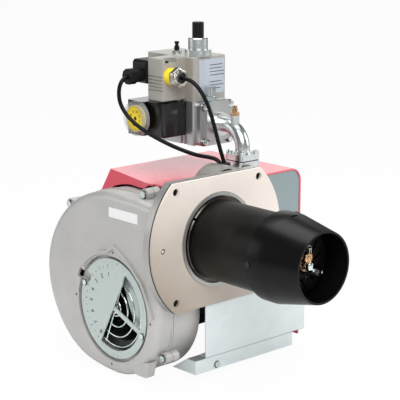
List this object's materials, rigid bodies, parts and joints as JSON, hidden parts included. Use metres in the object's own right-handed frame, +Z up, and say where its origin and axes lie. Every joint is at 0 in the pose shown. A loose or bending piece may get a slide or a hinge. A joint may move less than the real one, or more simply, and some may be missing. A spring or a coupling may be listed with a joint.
{
  "type": "industrial gas burner",
  "caption": "Gas burner with a black blast tube on a bolted flange, a cast fan casing with an air damper, a red hood and a gas valve train with cables.",
  "frame": {"origin": "centre of the flange gasket's front face, on the axis of the blast tube", "axes": "-Y along the blast tube to the flame, +X to the motor side, -X to the air intake, +Z up"},
  "size_m": [0.3155, 0.4915, 0.5041],
  "materials": {
    "black_enamel": "satin black heat-resistant enamel",
    "cast_aluminium": "shot-blasted die casting",
    "galvanised": "galvanised sheet",
    "zinc_plate": "bright zinc plating",
    "damper_zinc": "zinc-plated sheet",
    "gasket": "heat-resistant fibre board",
    "red_paint": "glossy red powder coat",
    "black_plastic": "moulded black plastic",
    "gloss_black": "glossy black plastic",
    "beige_plastic": "beige-grey paint",
    "valve_casting": "die-cast aluminium",
    "brass": "turned brass",
    "nickel": "nickel plating",
    "yellow": "yellow plastic",
    "clear_plastic": "clear polycarbonate",
    "ceramic": "fired ceramic",
    "rubber": "black rubber",
    "cable_sheath": "black cable sheath",
    "motor_black": "black motor paint",
    "seal_fibre": "fibre seal",
    "hot_steel": "heat-tinted steel",
    "screw_dark": "oiled steel"
  },
  "bodies": {
    "burner": {"blast_tube": "black_enamel", "head_sleeve": "black_enamel", "sleeve_screws": "screw_dark", "flame_disc": "hot_steel", "gas_lance": "hot_steel", "gas_nozzle": "brass", "electrode_ceramics": "ceramic", "electrode_wires": "hot_steel", "electrode_clamp": "brass", "flange_gasket": "gasket", "gasket_screws": "screw_dark", "burner_flange": "cast_aluminium", "tube_clamp_ring": "screw_dark", "cable_grommet": "rubber", "housing_cover": "cast_aluminium", "fan_housing": "cast_aluminium", "housing_screws": "zinc_plate", "intake_guard": "zinc_plate", "intake_baffle": "damper_zinc", "inlet_cone": "galvanised", "motor_body": "motor_black", "motor_screws": "zinc_plate", "front_panel": "galvanised", "base_bracket": "galvanised", "bracket_screw": "zinc_plate", "control_box": "beige_plastic", "ignition_transformer": "black_plastic", "counter_flange": "zinc_plate", "pipe_seal": "seal_fibre", "gas_elbow": "zinc_plate", "pressure_nipple": "brass", "pipe_bolts": "zinc_plate", "outlet_flange": "valve_casting", "outlet_screws": "zinc_plate", "valve_body": "valve_casting", "terminal_screw": "screw_dark", "inlet_flange": "valve_casting", "valve_housing": "beige_plastic", "terminal_box": "beige_plastic", "gland_sleeve": "yellow", "gland_nut": "nickel", "din_plug": "black_plastic", "pressure_switch": "gloss_black", "dial_ring": "clear_plastic", "column_base": "zinc_plate", "brake_column": "zinc_plate", "nipple_base": "zinc_plate", "test_nipple": "black_plastic", "bleed_fitting": "nickel", "plug_cable": "cable_sheath", "valve_cable": "cable_sheath"},
    "damper": {"air_damper": "damper_zinc", "damper_bar": "damper_zinc", "damper_screws": "zinc_plate"},
    "fan": {"fan_wheel": "galvanised", "motor_shaft": "screw_dark"},
    "dial": {"switch_dial": "yellow"},
    "cap": {"setting_cap": "black_plastic"},
    "cover_hood": {"hood": "red_paint", "hood_screws": "zinc_plate"}
  },
  "joints": [
    {"name": "damper_turn", "type": "hinge", "parent": "burner", "child": "damper", "pos_m": [0, 0.117, -0.11], "axis": [1, 0, 0], "range_deg": [-50, 85]},
    {"name": "fan_spin", "type": "hinge", "parent": "burner", "child": "fan", "pos_m": [0, 0.117, -0.11], "axis": [1, 0, 0], "continuous": true},
    {"name": "dial_turn", "type": "hinge", "parent": "burner", "child": "dial", "pos_m": [0, 0.172, 0.152], "axis": [1, 0, 0], "range_deg": [-135, 135]},
    {"name": "cap_turn", "type": "hinge", "parent": "burner", "child": "cap", "pos_m": [0.072, 0.122, 0.26], "axis": [0, 0, 1], "range_deg": [-180, 90]},
    {"name": "hood_slide", "type": "slide", "parent": "burner", "child": "cover_hood", "axis": [0, 1, 0], "range_m": [0, 0.12]}
  ]
}
